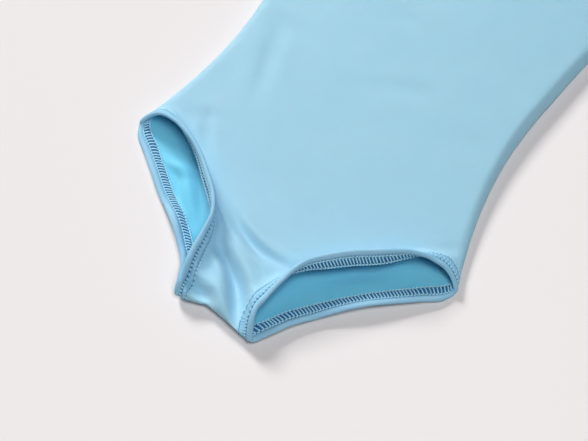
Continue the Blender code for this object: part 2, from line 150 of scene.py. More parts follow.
def jersey(name, turn=0.0, colour=JERSEY_BLUE, through_light=0.75):
    """Dull stretch knit: rough, a little sheen, light scattered through it, and wales as a wave bump across the
    cloth, turned by an angle."""
    material, tree, shader = new_material(name)
    place = node(tree, "ShaderNodeTexCoord").outputs["Object"]
    turned = node(tree, "ShaderNodeMapping", Vector=place, Rotation=(0.0, 0.0, turn)).outputs["Vector"]
    slow = node(tree, "ShaderNodeTexNoise", Vector=place, Scale=26.0, Detail=3.0).outputs["Fac"]
    painted_stitch_shade = node(tree, "ShaderNodeAttribute", {"attribute_name": "painted_stitch_shade"}).outputs["Fac"]
    pale = node(tree, "ShaderNodeMix", COLOUR_MIX, i0=slow, i6=linear(colour), i7=linear(JERSEY_PALE)).outputs[2]
    inside = node(tree, "ShaderNodeAttribute", {"attribute_name": "inside"}).outputs["Fac"]
    sided_glow = node(tree, "ShaderNodeMix", COLOUR_MIX, i0=inside, i6=pale, i7=linear(WRONG_SIDE_GLOW_BLUE)).outputs[2]
    dark = node(tree, "ShaderNodeMix", COLOUR_MIX, i0=painted_stitch_shade, i6=sided_glow, i7=linear(STITCH_SHADE_BLUE)).outputs[2]
    tree.links.new(dark, shader.inputs["Base Color"])
    # The wave node takes 20 times its input as an angle, so this scale gives one whole turn a wale
    wales = node(
        tree,
        "ShaderNodeTexWave",
        {"wave_type": "BANDS", "bands_direction": "X"},
        Vector=turned,
        Scale=2 * math.pi / WALE / 20,
        Distortion=0.6,
        Detail=1.0,
    ).outputs["Fac"]
    grain = node(tree, "ShaderNodeTexNoise", Vector=place, Scale=900.0, Detail=2.0).outputs["Fac"]
    fine = node(tree, "ShaderNodeMath", {"operation": "MULTIPLY_ADD"}, i0=wales, i1=0.5, i2=grain).outputs[0]
    bump = node(tree, "ShaderNodeBump", Height=fine, Strength=0.35, Distance=0.00012)
    tree.links.new(bump.outputs["Normal"], shader.inputs["Normal"])
    knit_finish = {
        "Roughness": 0.62,
        "IOR": 1.45,
        "Specular IOR Level": 0.3,
        "Sheen Weight": 0.06,
        "Sheen Roughness": 0.45,
        "Subsurface Weight": through_light,
        "Subsurface Radius": (0.6, 0.85, 0.85),
        "Subsurface Scale": 0.0019,
    }
    set_inputs(shader, knit_finish)
    return material


body_jersey = jersey("nylon_elastane_jersey")
print("jersey wales every", WALE * 1000, "mm")

# %% [markdown]
# ## Textured nylon thread
#
# Hems on stretch wear are sewn with fluffy textured nylon, dyed to match. Its loops are round bundles.
# The looper thread, which lies in shade on the hems' inner face, is painted paler as painted light.

# %% Thread material
THREAD_PALE = "#c6effd"


def thread_material(name, colour):
    """Bulky nylon thread: matched colour, softly shiny, with a fine noise bump for its filaments."""
    material, tree, shader = new_material(name)
    place = node(tree, "ShaderNodeTexCoord").outputs["Object"]
    fluff = node(tree, "ShaderNodeTexNoise", Vector=place, Scale=2200.0, Detail=2.0).outputs["Fac"]
    tone = node(tree, "ShaderNodeMix", COLOUR_MIX, i0=fluff, i6=linear(colour), i7=linear(THREAD_PALE)).outputs[2]
    tree.links.new(tone, shader.inputs["Base Color"])
    bump = node(tree, "ShaderNodeBump", Height=fluff, Strength=0.4, Distance=0.0001)
    tree.links.new(bump.outputs["Normal"], shader.inputs["Normal"])
    set_inputs(shader, {"Roughness": 0.5, "IOR": 1.53, "Sheen Weight": 0.05})
    return material


# painted light: the looper thread is paler than the cloth and the needle thread to stand in for light on the
# shaded inner band
looper_thread = thread_material("textured_nylon_looper_thread", "#b4ebff")
needle_thread = thread_material("textured_nylon_needle_thread", "#98d6f0")
print("threads:", looper_thread.name, "and", needle_thread.name)

# %% [markdown]
# ## The garment's flat sizes
#
# The plan repeats the solids' sizes: half widths up the side seam, the armhole from armpit to
# shoulder tip, and straight sleeve folds laid outwards and down. Lengths are in metres.

# %% Sizes and tables
CLOTH = 0.0006  # thickness of one layer
LEG_HEM = 0.013  # where the cloth starts to bend away from the standing hem
LEG_BAND = {-1: 0.0130, 1: 0.0142}  # width of the turned hem on the left and on the right
SMALL_HEM = 0.010  # width of the hems at the neck and wrists
CROTCH_HALF = 0.038
HIP_HALF = 0.153
HIP_Y = 0.121
ARMPIT_Y = 0.440
NECK_HALF = 0.085
NECK_Y = 0.622
FRONT_NECK_DROP = 0.097
BACK_NECK_DROP = 0.034
SHOULDER_TIP = (0.152, 0.598)
ARMHOLE_DIP = 0.014
SLEEVE_ANGLE = math.radians(42)
UNDERARM_LENGTH = 0.450
CUFF_WIDTH = 0.078
SEAM_RUN = 0.020
SIDE = np.array(
    [  # height, half width
        (HIP_Y, HIP_HALF),
        (0.139, 0.1480),
        (0.158, 0.1430),
        (0.187, 0.1365),
        (0.223, 0.1315),
        (0.250, 0.1300),
        (0.281, 0.1310),
        (0.340, 0.1380),
        (0.400, 0.1465),
        (ARMPIT_Y, 0.1510),
    ]
)


def through(knots, values, at):
    """A smooth curve through values at knots: cubic pieces whose slopes are the neighbours' mean slope."""
    knots, values = np.asarray(knots, float), np.asarray(values, float)
    at = np.clip(np.asarray(at, float), knots[0], knots[-1])
    slopes = np.gradient(values, knots, axis=0)
    i = np.clip(np.searchsorted(knots, at, side="right") - 1, 0, len(knots) - 2)
    step = knots[i + 1] - knots[i]
    t = (at - knots[i]) / step
    if values.ndim > 1:
        t, step = t[..., None], step[..., None]
    near = (2 * t**3 - 3 * t**2 + 1) * values[i] + (t**3 - 2 * t**2 + t) * step * slopes[i]
    return near + (3 * t**2 - 2 * t**3) * values[i + 1] + (t**3 - t**2) * step * slopes[i + 1]


def smooth(t):
    """A soft step from 0 to 1: three t squared less two t cubed."""
    t = np.clip(t, 0, 1)
    return t * t * (3 - 2 * t)


def unit(v):
    """Each vector divided by its length."""
    return v / np.maximum(np.linalg.norm(v, axis=-1, keepdims=True), 1e-12)


def chord(points):
    """The share of the way along a run of points, from 0 to 1."""
    steps = np.linalg.norm(np.diff(points, axis=0), axis=1)
    along = np.concatenate([[0], np.cumsum(steps)])
    return along / along[-1]


def side_half(y):
    """Half the body's width at a height, from the side table."""
    return through(SIDE[:, 0], SIDE[:, 1], y)


def armhole(t):
    """The armhole from armpit to shoulder tip: a straight line that dips by a squared sine."""
    t = np.asarray(t, float)[..., None]
    low = np.array([side_half(ARMPIT_Y), ARMPIT_Y])
    dip = ARMHOLE_DIP * np.sin(math.pi * t) ** 2
    return low + t * (np.array(SHOULDER_TIP) - low) - dip * np.array([1.0, 0.0])


# The crotch fold lies in a soft wave: how far the cloth there is pushed up the body, by its place across
FOLD_WAVE = np.array(
    [  # across, up
        (-0.075, 0.0000),
        (-0.055, 0.0010),
        (-0.037, 0.0020),
        (-0.028, 0.0012),
        (-0.017, 0.0036),
        (-0.010, 0.0058),
        (-0.003, 0.0050),
        (0.008, 0.0030),
        (0.021, 0.0000),
        (0.034, -0.0020),
        (0.050, -0.0015),
        (0.075, 0.0000),
    ]
)
WAVE_REACH = 0.030
FLOOR_GAP = 0.0001


def laid(points):
    """Points as the garment lies, in the part's frame: near the crotch they follow the wave, which fades
    up the body as a bell curve, and nothing lies below the floor."""
    push = through(FOLD_WAVE[:, 0], FOLD_WAVE[:, 1], points[..., 0])
    moved = placed(points)
    moved[..., 1] += push * np.exp(-((points[..., 1] / WAVE_REACH) ** 2))
    moved[..., 2] = np.maximum(moved[..., 2], FLOOR_GAP)
    return moved


print("hips", round(2 * float(side_half(HIP_Y)), 3), "m across")

# %% [markdown]
# ## Sleeves in plan, and the lines where the cloth folds
#
# Front and back meet at folds: the side seams, the sleeve's two edges, the shoulders and the crotch.
# Every height depends on how far a point is from the nearest such line, so the lines are gathered once.

# %% Fold lines
SLEEVE_DIRECTION = np.array([math.cos(SLEEVE_ANGLE), -math.sin(SLEEVE_ANGLE)])
SLEEVE_ACROSS = np.array([math.sin(SLEEVE_ANGLE), math.cos(SLEEVE_ANGLE)])
ARMPIT = armhole(0.0)
TIP = np.array(SHOULDER_TIP)
CUFF_LOW = ARMPIT + UNDERARM_LENGTH * SLEEVE_DIRECTION + 0.006 * SLEEVE_ACROSS
CUFF_HIGH = CUFF_LOW + CUFF_WIDTH * SLEEVE_ACROSS


def sleeve_folds(v):
    """The sleeve's under fold and top fold at a share v of its length: straight, eased by a sine."""
    v = np.asarray(v, float)[..., None]
    ease = 0.010 * np.sin(math.pi * v) * SLEEVE_ACROSS
    return ARMPIT + v * (CUFF_LOW - ARMPIT) + 0.3 * ease, TIP + v * (CUFF_HIGH - TIP) + ease


side_heights = np.concatenate([[HIP_Y], np.linspace(HIP_Y + SEAM_RUN, ARMPIT_Y, 50)])
side_line = np.stack([side_half(side_heights), side_heights], axis=1)
under_line, top_line = sleeve_folds(np.linspace(0, 1, 70))
shoulder_line = np.linspace([NECK_HALF, NECK_Y], SHOULDER_TIP, 12)
FOLD_LINES = [
    np.concatenate([side_line, under_line[1:]]),
    np.concatenate([shoulder_line, top_line[1:]]),
    np.linspace([0.0, 0.0], [CROTCH_HALF, 0.0], 8),
]
BLOCK = 20000  # points measured at once
print("fold lines:", [len(line) for line in FOLD_LINES], "points")


def line_distance(points, line):
    """Distance from plan points to a line of straight pieces, and the share along it of the nearest place."""
    a, d = line[:-1], np.diff(line, axis=0)
    t = np.clip(((points[:, None] - a) * d).sum(-1) / (d * d).sum(-1), 0, 1)
    away = np.linalg.norm(points[:, None] - a - t[..., None] * d, axis=-1)
    best = away.argmin(axis=1)
    rows = np.arange(len(points))
    return away[rows, best], (best + t[rows, best]) / len(d)


def fold_distance(x, y):
    """Distance to the nearest fold line, with the left half folded over onto the right."""
    flat = np.stack([np.abs(x).ravel(), np.asarray(y).ravel()], axis=1)
    blocks = [flat[i : i + BLOCK] for i in range(0, len(flat), BLOCK)]
    near = [np.min([line_distance(block, line)[0] for line in FOLD_LINES], axis=0) for block in blocks]
    return np.concatenate(near).reshape(np.shape(x))


# %% [markdown]
# ## Heights of the cloth
#
# The back lies flat and turns up at its folds. The front is a low dome, lifted by the air between the
# layers, and turns down to meet it. Handled cloth is never quite smooth, so listed creases are
# added to both. Each is a soft trough with low shoulders, along a bent line with its own length,
# width and depth. On the back they are ridges, because the floor lies below it.

# %% Heights
SEAM_Z = 0.005
TOP_ROUND = 0.009
BACK_ROUND = 0.0055
CROTCH_SEAM_RISE = 0.0035
CROTCH_LIFT = 0.003
CROTCH_REACH = 0.035
SIDE_DROP = 0.35
LOFT = np.array(
    [  # height up the body, height of the front cloth
        (0.000, 0.0135),
        (0.030, 0.0145),
        (0.070, 0.0135),
        (0.120, 0.0130),
        (0.180, 0.0160),
        (0.250, 0.0190),
        (0.350, 0.0210),
        (0.440, 0.0200),
        (0.540, 0.0145),
        (0.622, 0.0120),
    ]
)
SLEEVE_LOFT = np.array([(0.0, 0.0118), (0.12, 0.0122), (0.30, 0.0112), (0.60, 0.0098)])
CREASES = [  # start, middle and end in millimetres of plan, then depth and half width in millimetres
    (-48, 97, -6, 54, 46, 70, 4.8, 4.4),
    (-38, 58, -11, 47, 9, 22, 6.8, 5.0),
    (-15, 46, 10, 26, 32, -14, 9.2, 7.4),
    (-44, 24, -20, 6, 0, 0, 7.0, 5.4),
    (-28, 74, -6, 56, 24, 34, -1.8, 5.0),
    (14, 38, 30, 22, 34, -4, -1.2, 3.6),
    (96, 128, 118, 122, 142, 140, 1.1, 2.6),
    (112, 136, 128, 146, 144, 164, 0.7, 4.0),
    (-128, 142, -112, 152, -84, 160, 0.7, 6.0),
    (-104, 280, -92, 222, -70, 172, 1.3, 8.0),
    (-112, 162, -98, 142, -80, 120, 1.2, 5.0),
    (-14, 240, 24, 262, 62, 270, 0.7, 8.0),
    (-32, 324, -10, 327, 14, 318, 0.8, 7.0),
    (-60, 118, -30, 128, 14, 124, 0.4, 12.0),
    (128, 236, 104, 246, 62, 244, 0.7, 9.0),
    (-128, 262, -98, 266, -52, 258, 0.8, 10.0),
    (122, 300, 92, 316, 40, 322, 0.6, 12.0),
    (150, 436, 112, 452, 62, 450, 2.0, 9.0),
    (-150, 434, -106, 440, -70, 462, 2.2, 10.0),
    (146, 468, 118, 486, 92, 520, 1.2, 8.0),
    (-146, 476, -122, 500, -104, 532, 1.0, 9.0),
    (-64, 500, -20, 488, 44, 500, 0.7, 12.0),
    (172, 440, 196, 462, 206, 492, 2.2, 8.0),
    (-176, 436, -204, 454, -214, 500, 2.0, 9.0),
    (232, 396, 262, 408, 276, 442, 1.8, 8.0),
    (-262, 372, -280, 396, -312, 410, 1.9, 9.0),
    (318, 312, 342, 330, 346, 362, 2.0, 7.0),
    (-330, 312, -342, 336, -372, 350, 1.7, 8.0),
    (356, 290, 384, 296, 404, 318, 1.5, 7.0),
    (-392, 250, -402, 278, -420, 290, 1.6, 7.0),
    (428, 212, 452, 230, 458, 250, 1.3, 6.0),
    (-448, 196, -470, 216, -476, 238, 1.4, 6.0),
]
BACK_CREASES = [  # as above, for the cloth beneath, where a negative depth lifts it off the floor
    (60, 56, 86, 90, 122, 106, -4.2, 11.0),
    (72, 44, 96, 70, 130, 90, -3.2, 6.0),
    (-60, 58, -78, 90, -112, 116, -4.8, 6.5),
    (-56, 34, -74, 58, -94, 80, -3.6, 5.5),
    (-84, 104, -100, 100, -124, 106, -3.4, 5.0),
    (-30, 150, 10, 162, 70, 150, -2.0, 14.0),
    (-90, 300, -20, 322, 60, 304, -2.2, 16.0),
    (30, 420, 70, 440, 118, 430, -2.4, 14.0),
    (-120, 420, -80, 446, -30, 440, -2.0, 14.0),
]
print(len(CREASES), "creases on top,", len(BACK_CREASES), "beneath")


def creases(x, y, table=CREASES):
    """The sum of the creases: a bell-shaped trough less two low shoulders, fading to both of its ends."""
    points = np.stack([x.ravel(), y.ravel()], axis=1)
    total = np.zeros(len(points))
    t = np.linspace(0, 1, 16)[:, None]
    for row in table:
        ends = np.array(row[:6]).reshape(3, 2) / 1000
        depth, width = row[6] / 1000, row[7] / 1000
        line = (1 - t) ** 2 * ends[0] + 2 * t * (1 - t) * ends[1] + t**2 * ends[2]
        box = (points > line.min(0) - 4 * width).all(1) & (points < line.max(0) + 4 * width).all(1)
        if box.any():
            away, share = line_distance(points[box], line)
            u = away / width
            fade = np.sin(math.pi * share) ** 1.5
            total[box] -= depth * fade * (np.exp(-(u**2)) - 0.30 * np.exp(-(((u - 1.9) / 0.9) ** 2)))
    return total.reshape(x.shape)


armhole_line = armhole(np.linspace(0, 1, 24))


def armhole_groove(x, y):
    """How deep the armhole seam draws the cloth in: a narrow bell curve across the seam, with a wider, shallow
    pucker on both sides whose depth comes and goes along it as a cosine."""
    flat = np.stack([np.abs(x).ravel(), np.asarray(y).ravel()], axis=1)
    groove = np.zeros(len(flat))
    near = (np.abs(flat[:, 0] - 0.145) < 0.03) & (flat[:, 1] > 0.42)
    if near.any():
        away, share = line_distance(flat[near], armhole_line)
        pucker = 0.5 + 0.5 * np.cos(2 * math.pi * share * 21)
        groove[near] = 0.0007 * np.exp(-((away / 0.0009) ** 2)) + 0.00022 * pucker * np.exp(-((away / 0.004) ** 2))
    return groove.reshape(np.shape(x))


def crotch_share(y):
    """How near the crotch fold a point is, as a bell curve."""
    return np.exp(-((y / CROTCH_REACH) ** 2))


def seam_height(y):
    """The height at which front and back meet: a little higher at the crotch, which stands off the floor."""
    return SEAM_Z + CROTCH_SEAM_RISE * crotch_share(y)


def loft(x, y):
    """The front's height away from its folds: a dome on the body, lower along each sleeve."""
    body = through(LOFT[:, 0], LOFT[:, 1], y) * (1 - SIDE_DROP * np.clip(np.abs(x) / 0.15, 0, 1) ** 2)
    along = (np.abs(x) - ARMPIT[0]) * SLEEVE_DIRECTION[0] + (y - TIP[1]) * SLEEVE_DIRECTION[1]
    sleeve = smooth((np.abs(x) - 0.125) / 0.05) * smooth((y + 2 * np.abs(x) - 0.70) / 0.06)
    return body + (through(SLEEVE_LOFT[:, 0], SLEEVE_LOFT[:, 1], along) - body) * sleeve


def fold_turn(x, y, reach):
    """The round turn beside a fold: the quarter of a circle, 0 on the line and 1 beyond its reach."""
    return np.sqrt(1 - (1 - np.clip(fold_distance(x, y) / reach, 0, 1)) ** 2)


def top_height(x, y):
    """The cloth on top: the seam's height, then the round turn up to the dome with its creases."""
    seam = seam_height(y)
    return seam + fold_turn(x, y, TOP_ROUND) * (loft(x, y) - seam + creases(x, y) - armhole_groove(x, y))


def back_height(x, y):
    """The cloth beneath: flat on the floor, with a round turn up to the seam, lifted at the crotch and along
    its ridges, and drawn in at the armhole."""
    lift = CROTCH_LIFT * crotch_share(y)
    turn = fold_turn(x, y, BACK_ROUND)
    flat = lift + (seam_height(y) - lift) * (1 - turn)
    return flat + turn * np.maximum(creases(x, y, BACK_CREASES), 0) + armhole_groove(x, y)


# %% [markdown]
# ## The edges of the leg openings
#
# Elastic pulls each leg hem short, so the front's edge stands up and flares away from the back's,
# which lies low and only curls a little. A row of each table below gives where the rim lies, how far the
# cloth has drifted to the right as it was laid down, and how steeply the hem stands on each side.

# %% Leg edges
FRONT_EDGE = np.array(
    [  # across, up, drift, tilt left, tilt right
        (CROTCH_HALF, 0.0000, 0.0000, 0, 0),
        (0.0358, 0.0160, -0.0038, 25, 28),
        (0.0372, 0.0340, -0.0047, 38, 38),
        (0.0390, 0.0520, -0.0029, 56, 60),
        (0.0417, 0.0680, -0.0008, 82, 86),
        (0.0520, 0.0840, 0.0010, 104, 110),
        (0.0670, 0.0985, 0.0010, 106, 118),
        (0.0860, 0.1125, 0.0028, 98, 112),
        (0.1055, 0.1235, 0.0022, 84, 82),
        (0.1240, 0.1295, 0.0010, 62, 44),
        (0.1392, 0.1295, 0.0000, 38, 20),
        (0.1490, 0.1248, 0.0000, 12, 6),
        (HIP_HALF, HIP_Y, 0.0000, 0, 0),
    ]
)
BACK_EDGE = np.array(
    [  # across, up, drift, tilt left, tilt right
        (CROTCH_HALF, 0.0000, 0.0000, 0, 0),
        (0.0457, 0.0130, 0.0028, 16, 14),
        (0.0533, 0.0270, 0.0043, 20, 14),
        (0.0654, 0.0405, 0.0041, 22, 14),
        (0.0803, 0.0550, 0.0028, 20, 18),
        (0.0990, 0.0700, 0.0000, 16, 22),
        (0.1170, 0.0850, 0.0000, 14, 22),
        (0.1340, 0.0990, 0.0000, 10, 16),
        (0.1475, 0.1105, 0.0000, 4, 6),
        (HIP_HALF, HIP_Y, 0.0000, 0, 0),
    ]
)
BEND = 0.013  # the run in which the cloth inside a hem bends back to level
CROTCH_SHARE = 0.10  # the share of the edge that turns to run along the crotch fold
HIP_SHARE = 0.24  # the share that turns to run along the side seam
FAN_SHARE = 0.40  # the share over which the rows fan out towards the hip corner
CORNER_DIRECTION = np.array([-0.5, 0.87])  # where they point at that corner


def leg_edge(table, share, side):
    """A place on a leg edge by its share from crotch to hip: plan point, inward direction and tilt."""
    rim = table[:, :2] + side * table[:, 2:3] * np.array([1.0, 0.0])
    knots = chord(rim)
    point = through(knots, rim, share)
    ahead = through(knots, rim, np.minimum(share + 0.004, 1))
    behind = through(knots, rim, np.maximum(share - 0.004, 0))
    along = unit(ahead - behind)
    inward = np.stack([-along[:, 1], along[:, 0]], axis=1)
    seam = unit(np.array([side_half(HIP_Y + SEAM_RUN) - side_half(HIP_Y), SEAM_RUN]))
    hip = smooth((share - 1 + HIP_SHARE) / HIP_SHARE * 1.25)[:, None]
    low = smooth((CROTCH_SHARE - share) / CROTCH_SHARE)[:, None]
    inward = unit(inward * (1 - hip) + seam * hip)
    inward = unit(inward * (1 - low) + np.array([-1.0, 0.0]) * low)
    return point, inward, np.radians(through(knots, table[:, 3 if side < 0 else 4], share))


def leg_profile(tilt, depths):
    """The cloth's line across a leg edge, from the rim inwards: run and rise are sums of short steps at an
    angle, which is the tilt in the hem and eases to level past it."""
    fine = np.linspace(0, LEG_HEM + BEND, 209)
    angle = tilt[:, None] * (1 - smooth((fine - LEG_HEM + 0.001) / BEND))
    step = fine[1] - fine[0]
    run = np.cumsum(np.cos(angle), axis=1) * step
    rise = np.cumsum(np.sin(angle), axis=1) * step
    run, rise = run - run[:, :1], rise[:, -1:] - rise
    place = np.clip(np.asarray(depths) / step, 0, len(fine) - 1.001)
    i, t = place.astype(int), place % 1
    return run[:, i] * (1 - t) + run[:, i + 1] * t, rise[:, i] * (1 - t) + rise[:, i + 1] * t


def leg_points(table, height, share, side, depths, turned=None):
    """Points of the outer face at depths inside a leg edge: shares by depths by 3."""
    point, inward, tilt = leg_edge(table, share, side)
    run, rise = leg_profile(tilt, depths)
    plan = point[:, None, :] + run[..., None] * inward[:, None, :]
    if turned is not None:
        start = run[:, :1]
        plan = plan[:, :1] + (run - start)[..., None] * turned[:, None, :]
    x = plan[..., 0] * side
    return np.stack([x, plan[..., 1], height(x, plan[..., 1]) + rise], axis=-1)


print("leg hems stand at up to", FRONT_EDGE[:, 3:].max(), "degrees in front,", BACK_EDGE[:, 3:].max(), "behind")

# %% [markdown]
# ## From grid to mesh
#
# A grid of outer points becomes a thin closed wall: the same grid again, moved in along the surface's
# normal by the cloth's thickness, and a strip that joins the two all round.

# %% Grid walls


def grid_normals(points, closed=False):
    """Unit normals of a grid of points: the cross product of its differences along columns and rows."""
    if closed:
        along = np.roll(points, -1, axis=0) - np.roll(points, 1, axis=0)
    else:
        along = np.gradient(points, axis=0)
    return unit(np.cross(np.gradient(points, axis=1), along))


def mesh_object(name, points, faces, material, attributes=None):
    """A smooth shaded object from points and faces, riding on the garment, with optional values per point."""
    mesh = bpy.data.meshes.new(name)
    mesh.vertices.add(len(points))
    mesh.vertices.foreach_set("co", laid(points).astype(np.float32).ravel())
    faces = np.asarray(faces)
    mesh.loops.add(faces.size)
    mesh.loops.foreach_set("vertex_index", faces.ravel())
    mesh.polygons.add(len(faces))
    mesh.polygons.foreach_set("loop_start", np.arange(0, faces.size, faces.shape[1]))
    mesh.update(calc_edges=True)
    mesh.validate()
    mesh.shade_smooth()
    for key, values in (attributes or {}).items():
        mesh.attributes.new(key, "FLOAT", "POINT").data.foreach_set("value", values.astype(np.float32).ravel())
    mesh.materials.append(material)
    obj = bpy.data.objects.new(name, mesh)
    bpy.context.scene.collection.objects.link(obj)
    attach(obj, "root")
    return obj


def ring_faces(rows, columns, closed_rows):
    """The quads of a grid whose columns join up with their start, and its rows too where they are closed."""
    index = np.arange(rows * columns).reshape(rows, columns)
    if closed_rows:
        index = np.concatenate([index, index[:1]])
    index = np.concatenate([index, index[:, :1]], axis=1)
    return np.stack([index[:-1, :-1], index[:-1, 1:], index[1:, 1:], index[1:, :-1]], axis=-1).reshape(-1, 4)


def wall(name, outer, thickness, material, closed=False, mirrored=False):
    """A grid of outer points as one closed wall of cloth."""
    if mirrored:
        outer = outer[:, ::-1]
    inner = outer - thickness * grid_normals(outer, closed)
    section = np.concatenate([outer, inner[:, ::-1]], axis=1)
    rows, columns = section.shape[:2]
    faces = ring_faces(rows, columns, closed)
    half = columns // 2
    inside = np.zeros((rows, columns))
    inside[:, half:] = 1
    if not closed:
        index = np.arange(rows * columns).reshape(rows, columns)
        for row, turn in ((0, -1), (-1, 1)):
            top, bottom = index[row, :half], index[row, half:][::-1]
            cap = np.stack([top[:-1], top[1:], bottom[1:], bottom[:-1]], axis=-1)
            faces = np.concatenate([faces, cap[:, ::turn]])
    return mesh_object(name, section.reshape(-1, 3), faces, material, {"inside": inside})


# %% [markdown]
# ## Front and back panels
#
# Rows run across the body. The lowest follow the leg openings, the next the side
# seams, and the last the armholes up to the neck and shoulders. Rows and columns crowd together near
# the folds, where the cloth turns in a few millimetres.

# %% Panel grids
EDGE_STEPS = np.array([0.0, 0.0002, 0.0006, 0.0012, 0.0020, 0.0030, 0.0042, 0.0058, 0.0078, 0.0102])
INNER_COLUMNS = 58
LEG_ROWS = 110
SIDE_ROWS = 80
ARMHOLE_ROWS = 34
LEG_CENTRE_Y = 0.185
ROW_BEND = 2.5
CORNER_BEND = 4.3
SHOULDER_COLUMNS = 14
TUCK = 0.0008  # how far a panel's cut edge reaches under the hem
SUNK = 0.0005  # how far that edge is sunk into it


def crowded(length, count):
    """Shares from 0 to 1 with the edge steps at both ends and even steps between."""
    steps = EDGE_STEPS / length
    return np.concatenate([steps[:-1], np.linspace(steps[-1], 1 - steps[-1], count), 1 - steps[-2::-1]])


def raised(plan, height, side):
    """Plan points on the right, put on their side and given their height."""
    x = plan[..., 0] * side
    return np.stack([x, plan[..., 1], height(x, plan[..., 1])], axis=-1)


def inner_row(edge, centre_y, bend):
    """Plan points from a row's edge to the centre line: y goes to the centre's by a power of the width."""
    across = np.linspace(1, 0, INNER_COLUMNS + 2)[1:]
    return np.stack([edge[0] * across, centre_y + (edge[1] - centre_y) * across**bend], axis=1)


def neck_curve(share, drop, wider):
    """The neckline from its lowest point at 0 to the shoulder at 1: a quarter ellipse, widened for a hem."""
    slope = (NECK_Y - SHOULDER_TIP[1]) / (SHOULDER_TIP[0] - NECK_HALF)
    top = NECK_Y - slope * wider
    angle = share * math.pi / 2
    depth = drop + wider - slope * wider
    return np.stack([(NECK_HALF + wider) * np.sin(angle), top - depth * np.cos(angle)], axis=-1)


def flat_row(plan, side):
    """A row of plan points put on their side, with their heights left open as not-a-number."""
    return np.column_stack([plan[:, 0] * side, plan[:, 1], np.full(len(plan), np.nan)])


def half_panel(table, height, drop, side, facing):
    """One half of a panel: the plan of every row first, then heights, with the leg rows' own rise."""
    shares = crowded(LEG_CENTRE_Y, LEG_ROWS)
    _, inward, _ = leg_edge(table, shares, side)
    hip = np.clip((shares - 1 + FAN_SHARE) / FAN_SHARE, 0, 1)[:, None]
    turned = unit(inward * (1 - hip) + CORNER_DIRECTION * hip)
    depths = LEG_BAND[side] - TUCK + EDGE_STEPS
    edges = leg_points(table, height, shares, side, depths, turned)
    sunk = SUNK * (1 - smooth((depths - depths[0]) / 0.0014))
    edges = edges - sunk[:, None] * grid_normals(edges) * -side * facing
    rows = []
    for share, edge in zip(shares, edges):
        bend = ROW_BEND + CORNER_BEND * share**6
        plan = inner_row((edge[-1, 0] * side, edge[-1, 1]), LEG_CENTRE_Y * share, bend)
        rows.append(np.concatenate([edge, flat_row(plan, side)]))
    corner_y = edges[-1, 0, 1]
    for level in np.linspace(0, 1, SIDE_ROWS + 1)[1:]:
        y = corner_y + (ARMPIT_Y - corner_y) * level
        turn = smooth(level * 2)
        direction = unit(CORNER_DIRECTION * (1 - turn) + np.array([-1.0, 0.0]) * turn)
        edge = np.array([side_half(y), y]) + EDGE_STEPS[:, None] * direction
        centre_y = LEG_CENTRE_Y + (ARMPIT_Y - LEG_CENTRE_Y) * level
        bend = ROW_BEND + CORNER_BEND * (1 - smooth(level * 2.5))
        low = np.concatenate([edge, inner_row(edge[-1], centre_y, bend)])
        if level < 1:
            rows.append(flat_row(low, side))
    reach = 1 - chord(low)
    length = np.linalg.norm(TIP - ARMPIT)
    neck_count = len(low) - SHOULDER_COLUMNS
    neck_share = 1 - np.linspace(0, 1, neck_count) ** 1.5
    neck = neck_curve(neck_share, drop, SMALL_HEM - TUCK)
    high = np.concatenate([np.linspace(TIP, neck[0], SHOULDER_COLUMNS + 1)[:-1], neck])
    for level in crowded(length, ARMHOLE_ROWS):
        plan = low + level * (high - low)
        plan = plan + (armhole(level) - plan[0]) * (reach**3)[:, None]
        rows.append(flat_row(plan, side))
    grid = np.array(rows)
    bare = np.isnan(grid[..., 2])
    grid[bare, 2] = height(grid[bare, 0], grid[bare, 1])
    return grid


def panel(table, height, drop, facing):
    """Both halves of a panel, joined at the centre line, as one grid from left to right."""
    left = half_panel(table, height, drop, -1, facing)
    right = half_panel(table, height, drop, 1, facing)
    return np.concatenate([left, right[:, -2::-1]], axis=1)


# %% Front and back
front_grid = panel(FRONT_EDGE, top_height, FRONT_NECK_DROP, 1)
front = wall("front_panel", front_grid, CLOTH, body_jersey)
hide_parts("front")
back_grid = panel(BACK_EDGE, back_height, BACK_NECK_DROP, -1)
back = wall("back_panel", back_grid, CLOTH, body_jersey, mirrored=True)
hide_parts("back")


# %% [markdown]
# ## Sleeves
#
# Each sleeve is one piece of cloth folded along its top, sewn under the arm: a flattened tube. Its
# first section follows the armhole, and the next ones ease to straight sections across the sleeve.

# %% Sleeve grids
SLEEVE_ROWS = 150
SLEEVE_COLUMNS = 40


def sleeve_tube(shares, side):
    """A grid of sections by points round each: across on top, then back beneath."""
    v = np.asarray(shares)[:, None]
    under, top = sleeve_folds(shares)
    across = crowded(np.linalg.norm(TIP - ARMPIT), SLEEVE_COLUMNS)
    straight = under[:, None] + across[:, None] * (top - under)[:, None]
    seam = armhole(across) - (ARMPIT + across[:, None] * (TIP - ARMPIT))
    plan = straight + (1 - smooth(v / 0.35))[..., None] * seam
    upper = raised(plan, top_height, side)
    lower = raised(plan, back_height, side)
    return np.concatenate([upper, lower[:, -2:0:-1]], axis=1)


cuff_share = 1 - SMALL_HEM / UNDERARM_LENGTH
for side, word in ((-1, "left"), (1, "right")):
    sleeve_jersey = jersey(f"nylon_elastane_jersey_sleeve_{word}", turn=side * (math.pi / 2 - SLEEVE_ANGLE))
    tube = sleeve_tube(np.linspace(0.0003, cuff_share + TUCK / UNDERARM_LENGTH, SLEEVE_ROWS), side)
    sleeve = wall(f"sleeve_{word}_cloth", tube.transpose(1, 0, 2), CLOTH, sleeve_jersey, True, side < 0)
    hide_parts(f"sleeve_{word}")

# %% [markdown]
# ## Turned hems
#
# At the legs, neck and wrists the cloth is turned in over elastic and sewn with a two-needle cover
# stitch. So a hem is a closed band. The elastic fills its rim, which stands out as a soft round cord.
# Each needle row presses a groove into both faces, deepest at the needle holes, and the band between
# them puckers a little. The surface is read from a dense table of points round the opening, and the
# stitches are read from the same table.

# %% Openings
STITCH = 0.0034  # length of one stitch
TABLE_SPARE = 0.0006  # how far the tables run on past the hems


